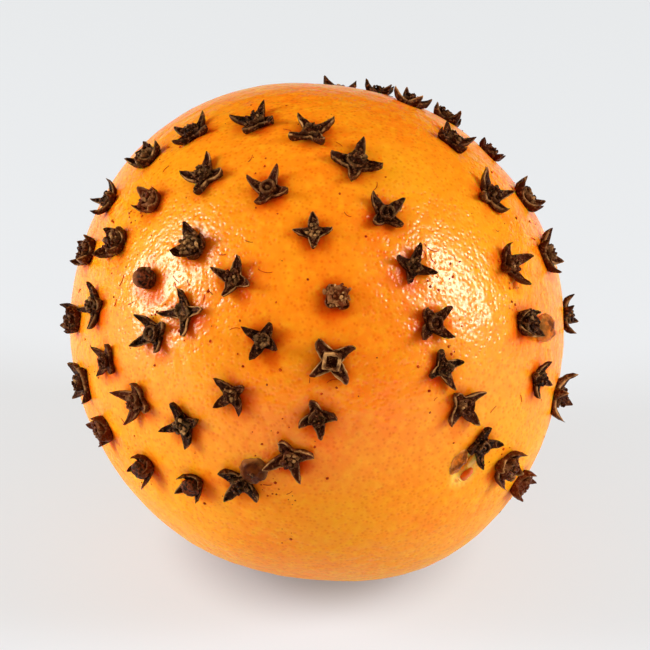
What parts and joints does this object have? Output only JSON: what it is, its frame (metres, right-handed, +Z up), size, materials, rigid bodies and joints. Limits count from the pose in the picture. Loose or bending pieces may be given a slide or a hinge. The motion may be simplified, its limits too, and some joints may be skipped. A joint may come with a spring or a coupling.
{
  "type": "clove pomander orange",
  "caption": "Whole orange studded with dried cloves along a spiral, a scented festive table decoration that rests on its own flat spot.",
  "frame": {"origin": "centre of the small flat spot that the orange rests on", "axes": "+Z up; the front, where the clove spiral opens, faces -Y; +X to the right of it"},
  "size_m": [0.0836, 0.0841, 0.0812],
  "materials": {
    "orange_peel": "waxy, finely pored citrus peel with a soft gloss",
    "dried_clove": "dark brown, matte, wrinkled, with paler sepal edges",
    "clove_bud": "thin, papery, slightly translucent tan petals folded into a dome",
    "orange_flesh": "wet pith and flesh in a small split of the peel",
    "dry_stem": "dry, cracked, grey-green button where the stalk sat"
  },
  "bodies": {
    "root": {"studded_orange": "orange_peel"}
  },
  "joints": []
}
